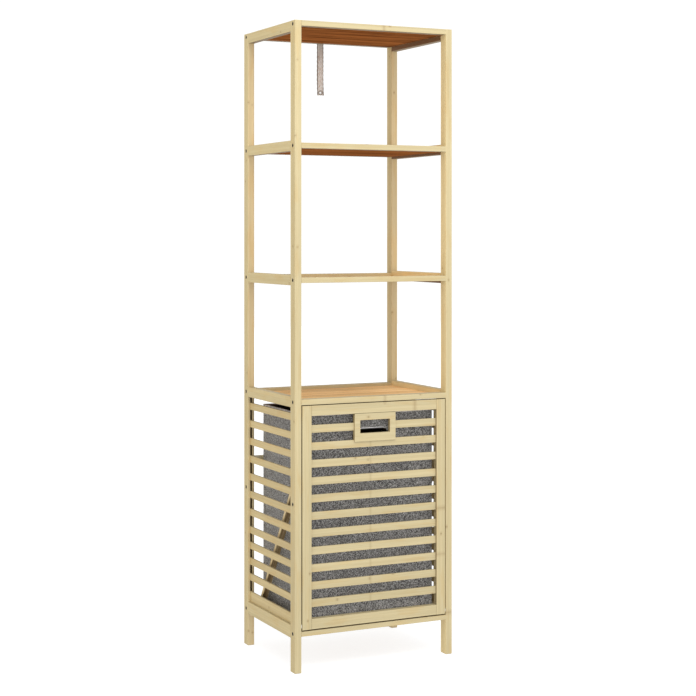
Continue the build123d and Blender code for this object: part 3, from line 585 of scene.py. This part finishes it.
def stadium_nearest(x, z, L, H):
    """nearest point on the stadium outline, and whether (x, z) is inside"""
    r = H / 2
    c = L / 2 - r
    cx = max(-c, min(c, x))
    d = Vector((x - cx, z - HOLE_Z))
    inside = d.length < r
    if d.length < 1e-9:
        d = Vector((0, 1))
    d = d.normalized() * r
    return (cx + d.x, HOLE_Z + d.y), inside


def cut_hole(verts, faces, L, H):
    drop = set()
    for fi, f in enumerate(faces):
        cy = sum(verts[v][1] for v in f) / 4
        if cy > BY0 + 0.004:
            continue
        cx = sum(verts[v][0] for v in f) / 4
        cz = sum(verts[v][2] for v in f) / 4
        if stadium_nearest(cx, cz, L, H)[1]:
            drop.add(fi)
    kept = [f for i, f in enumerate(faces) if i not in drop]
    used_in = {v for i in drop for v in faces[i]}
    used_keep = {v for f in kept for v in f}
    rim = used_in & used_keep
    verts = list(verts)
    for v in rim:
        (nx_, nz_), _ = stadium_nearest(verts[v][0], verts[v][2], L, H)
        verts[v] = (nx_, verts[v][1], nz_)
    used = sorted(used_keep)
    new = {v: i for i, v in enumerate(used)}
    return [verts[v] for v in used], [tuple(new[v] for v in f) for f in kept], new


# bottom: rings that shrink to the middle
base_start = len(verts)
STEPS = 16
cxm, cym = 0.0, (BY0 + BY1) / 2
prev = list(range(M))
for s in range(1, STEPS + 1):
    t = s / STEPS
    row = []
    for i, q in enumerate(ring_pts):
        x0, y0, _ = verts[i]
        if s == STEPS:
            # collapse onto a short middle line, so that no fan of slivers forms
            mx = max(-0.035, min(0.035, x0 * 0.2))
            row.append(None)
            verts.append((mx, cym, BZ0 + 0.0002))
            row[-1] = len(verts) - 1
        else:
            mx = max(-0.035, min(0.035, x0 * 0.2))
            verts.append((x0 + (mx - x0) * t, y0 + (cym - y0) * t, BZ0))
            row.append(len(verts) - 1)
    for i in range(M):
        k = (i + 1) % M
        faces.append((row[i], row[k], prev[k], prev[i]))
    prev = row

verts, faces, _ = cut_hole(verts, faces, HOLE_L, HOLE_H)
bag = mesh_object("bag_shell", verts, faces, [mats["cloth"], mats["lining"]])
bm = bmesh.new()
bm.from_mesh(bag.data)
bmesh.ops.remove_doubles(bm, verts=bm.verts, dist=0.00005)
bmesh.ops.dissolve_degenerate(bm, edges=bm.edges, dist=0.00002)
bmesh.ops.recalc_face_normals(bm, faces=bm.faces)
bm.to_mesh(bag.data)
bm.free()
for f in bag.data.polygons:
    f.use_smooth = True
sol = bag.modifiers.new("thickness", "SOLIDIFY")
sol.thickness = 0.0022
sol.offset = -1.0
sol.use_even_offset = False
sol.material_offset = 1
sol.material_offset_rim = 0
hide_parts("laundry_bag")

# binding folded over the top edge, and a hem line with stitches under it
verts, faces = [], []
prof = [(0.0005, -0.0026), (0.0008, -0.0021), (0.0009, -0.0010), (0.0006, 0.0004), (-0.0011, 0.0009), (-0.0028, 0.0004),
        (-0.0031, -0.0010), (-0.0031, -0.0021), (-0.0027, -0.0026), (-0.0021, -0.0028), (0.0000, -0.0028)]
P = len(prof)
for q in ring_pts:
    for off, dz in prof:
        verts.append(bag_point(*q, BZ1, off)[:2] + (bag_point(*q, BZ1, 0)[2] + dz,))
for i in range(M):
    k = (i + 1) % M
    for j in range(P):
        l = (j + 1) % P
        faces.append((i * P + j, i * P + l, k * P + l, k * P + j))
binding = mesh_object("bag_binding", verts, faces, mats["binding"])
bm = bmesh.new(); bm.from_mesh(binding.data); bmesh.ops.recalc_face_normals(bm, faces=bm.faces); bm.to_mesh(binding.data); bm.free()

# stitches: short capsules in one row round the bag, on the outside of the cloth a little under the binding
sv, sf = [], []


def capsule(c, d, n, length, r):
    """a small thread from c along d, lifted along n"""
    d, n = Vector(d).normalized(), Vector(n).normalized()
    s = d.cross(n).normalized()
    base = len(sv)
    rows = [(-0.5, 0.15), (-0.36, 0.8), (-0.15, 1.0), (0.15, 1.0), (0.36, 0.8), (0.5, 0.15)]
    K = 6
    for t, rr in rows:
        for k in range(K):
            a = 2 * math.pi * k / K
            lift = r * 0.55 * (1 - (2 * t) ** 2)
            v = Vector(c) + d * (t * length) + n * (lift + math.sin(a) * r * rr * 0.7) + s * (math.cos(a) * r * rr)
            sv.append(tuple(v))
    for i in range(len(rows) - 1):
        for k in range(K):
            l = (k + 1) % K
            sf.append((base + i * K + k, base + i * K + l, base + (i + 1) * K + l, base + (i + 1) * K + k))
    sf.append(tuple(base + k for k in range(K))[::-1])
    sf.append(tuple(base + (len(rows) - 1) * K + k for k in range(K)))


for i in range(M):
    k = (i + 1) % M
    p, q = ring_pts[i], ring_pts[k]
    a = Vector(bag_point(*p, BZ1, 0.0003))
    b = Vector(bag_point(*q, BZ1, 0.0003))
    if (b - a).length < 0.003:
        continue
    c = (a + b) / 2
    capsule((c.x, c.y, c.z - 0.0062), b - a, (p[2], p[3], 0), 0.0036, 0.00032)
stitches = mesh_object("bag_stitches", sv, sf, mats["thread"])

# the ring round the hand hole: a rounded channel swept along a stadium
verts, faces = [], []
RL, RH, TUBE = 0.0768, 0.0268, 0.0022
r_ = RH / 2
c_ = RL / 2 - r_
path = []
SEG = 22
for i in range(SEG + 1):
    a = -math.pi / 2 + math.pi * i / SEG
    path.append((c_ + r_ * math.cos(a), r_ * math.sin(a), math.cos(a), math.sin(a)))
for i in range(1, 14):
    path.append((c_ - 2 * c_ * i / 14, r_, 0, 1))
for i in range(SEG + 1):
    a = math.pi / 2 + math.pi * i / SEG
    path.append((-c_ + r_ * math.cos(a), r_ * math.sin(a), math.cos(a), math.sin(a)))
for i in range(1, 14):
    path.append((-c_ + 2 * c_ * i / 14, -r_, 0, -1))
K = 16
for (x, z, nx, nz) in path:
    for k in range(K):
        a = 2 * math.pi * k / K
        # front half is a full round bead, the back half a flatter flange behind the cloth
        out = math.cos(a) * TUBE
        dep = -math.sin(a) * (0.0017 if math.sin(a) > 0 else 0.0032)
        verts.append((x + nx * out, BY0 + 0.0004 + dep, HOLE_Z + z + nz * out))
L_ = len(path)
for i in range(L_):
    j = (i + 1) % L_
    for k in range(K):
        l = (k + 1) % K
        faces.append((i * K + k, i * K + l, j * K + l, j * K + k))
ring = mesh_object("bag_ring", verts, faces, mats["ring_metal"])
bm = bmesh.new(); bm.from_mesh(ring.data); bmesh.ops.recalc_face_normals(bm, faces=bm.faces); bm.to_mesh(ring.data); bm.free()
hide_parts("bag_grip_ring")
for o in (bag, binding, stitches, ring):
    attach(o, "hamper")

# ------------------------------------------------------------------ tether strap
SW, ST = 0.017, 0.0012
sz0, sz1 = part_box("tether_strap")[0].z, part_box("tether_strap")[1].z
syc = (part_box("tether_strap")[0].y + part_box("tether_strap")[1].y) / 2
rail_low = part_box("rail_back_top")[0].z
rows_n, cols = 110, 12
EYE_Z, EYE_R = 1.3236, 0.0027
verts, faces = [], []
for j in range(rows_n + 1):
    z = sz0 + (sz1 - sz0) * j / rows_n
    fall = max(0.0, (rail_low - 0.004 - z)) / (rail_low - sz0)
    for i in range(cols + 1):
        t = -1 + 2 * i / cols
        half = SW / 2
        edge = 0.00030 * math.sin(z * 2 * math.pi / 0.0110) * (1 if t > 0 else -1) * (abs(t) ** 6)
        flare = 0.0006 * max(0.0, 1.0 - (z - sz0) / 0.006)
        x = t * (half + flare) + edge
        sway = 0.0010 * fall * math.sin(z * 47 + 0.6)
        twist = 0.0007 * fall * t * math.sin(z * 30)
        verts.append((x + 0.0009 * fall * math.sin(z * 26), syc - 0.0009 * fall + sway * 0.6 - abs(twist), z))
for j in range(rows_n):
    for i in range(cols):
        a = j * (cols + 1) + i
        faces.append((a, a + 1, a + cols + 2, a + cols + 1))
# eyelet hole
keep = []
hole_v = set()
for f in faces:
    cx = sum(verts[v][0] for v in f) / 4
    cz = sum(verts[v][2] for v in f) / 4
    if math.hypot(cx - 0.0, cz - EYE_Z) < EYE_R:
        hole_v |= set(f)
    else:
        keep.append(f)
kept_v = {v for f in keep for v in f}
for v in hole_v & kept_v:
    x, y, z = verts[v]
    d = math.hypot(x, z - EYE_Z) or 1e-9
    verts[v] = (x / d * EYE_R, y, EYE_Z + (z - EYE_Z) / d * EYE_R)
used = sorted(kept_v)
new = {v: i for i, v in enumerate(used)}
strap = mesh_object("strap_webbing", [verts[v] for v in used], [tuple(new[v] for v in f) for f in keep], mats["strap"])
m = strap.modifiers.new("thickness", "SOLIDIFY")
m.thickness = ST
m.offset = 0.0
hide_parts("tether_strap")
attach(strap, "tower")

# ------------------------------------------------------------------ floor and light
g = Mat("floor_paint")
w = g.noise(g.obj(), 3.0, 3)
fcol = g.mix(w, (0.42, 0.435, 0.45, 1), (0.44, 0.455, 0.47, 1))
floor_mat = g.set(color=fcol, rough=0.9, spec=0.05)
g.b.inputs["Emission Color"].default_value = (1, 1, 1, 1)
g.b.inputs["Emission Strength"].default_value = 0.80
fl = mesh_object("floor", [(-12, -12, 0), (12, -12, 0), (12, 12, 0), (-12, 12, 0)], [(0, 1, 2, 3)], floor_mat)

world = bpy.data.worlds.new("studio")
scene.world = world
world.use_nodes = True
wt = world.node_tree
wt.nodes.clear()
tc = wt.nodes.new("ShaderNodeTexCoord")
sp = wt.nodes.new("ShaderNodeSeparateXYZ")
wt.links.new(tc.outputs["Generated"], sp.inputs[0])
mr = wt.nodes.new("ShaderNodeMapRange")
mr.interpolation_type = "SMOOTHSTEP"
wt.links.new(sp.outputs[2], mr.inputs["Value"])
for k, v in (("From Min", 0.22), ("From Max", 0.60), ("To Min", 1.06), ("To Max", 0.55)):
    mr.inputs[k].default_value = v
bg = wt.nodes.new("ShaderNodeBackground")
bg.inputs[0].default_value = (1, 1, 1, 1)
wt.links.new(mr.outputs[0], bg.inputs[1])
wo = wt.nodes.new("ShaderNodeOutputWorld")
wt.links.new(bg.outputs[0], wo.inputs[0])


def sun(name, az, el, strength, angle, color=(1, 1, 1)):
    """a wide soft light from azimuth az (degrees from the front, positive to the right) and elevation el"""
    d = bpy.data.lights.new(name, "SUN")
    d.energy = strength
    d.angle = math.radians(angle)
    d.color = color
    o = bpy.data.objects.new(name, d)
    a_, e_ = math.radians(az), math.radians(el)
    frm = Vector((math.sin(a_) * math.cos(e_), -math.cos(a_) * math.cos(e_), math.sin(e_)))
    o.rotation_euler = (-frm).to_track_quat("-Z", "Y").to_euler()
    scene.collection.objects.link(o)
    return o


def area(name, loc, target, size, power, color=(1, 1, 1)):
    d = bpy.data.lights.new(name, "AREA")
    d.shape = "DISK"
    d.size = size
    d.energy = power
    d.color = color
    o = bpy.data.objects.new(name, d)
    o.location = loc
    o.rotation_euler = (Vector(target) - Vector(loc)).to_track_quat("-Z", "Y").to_euler()
    scene.collection.objects.link(o)
    return o


sun("key", -12.0, 50.0, 0.64, 36.0, (1.0, 0.98, 0.95))
area("top_front", (-0.2, -1.9, 2.6), (0, -0.1, 1.2), 1.1, 16, (1.0, 0.985, 0.96))
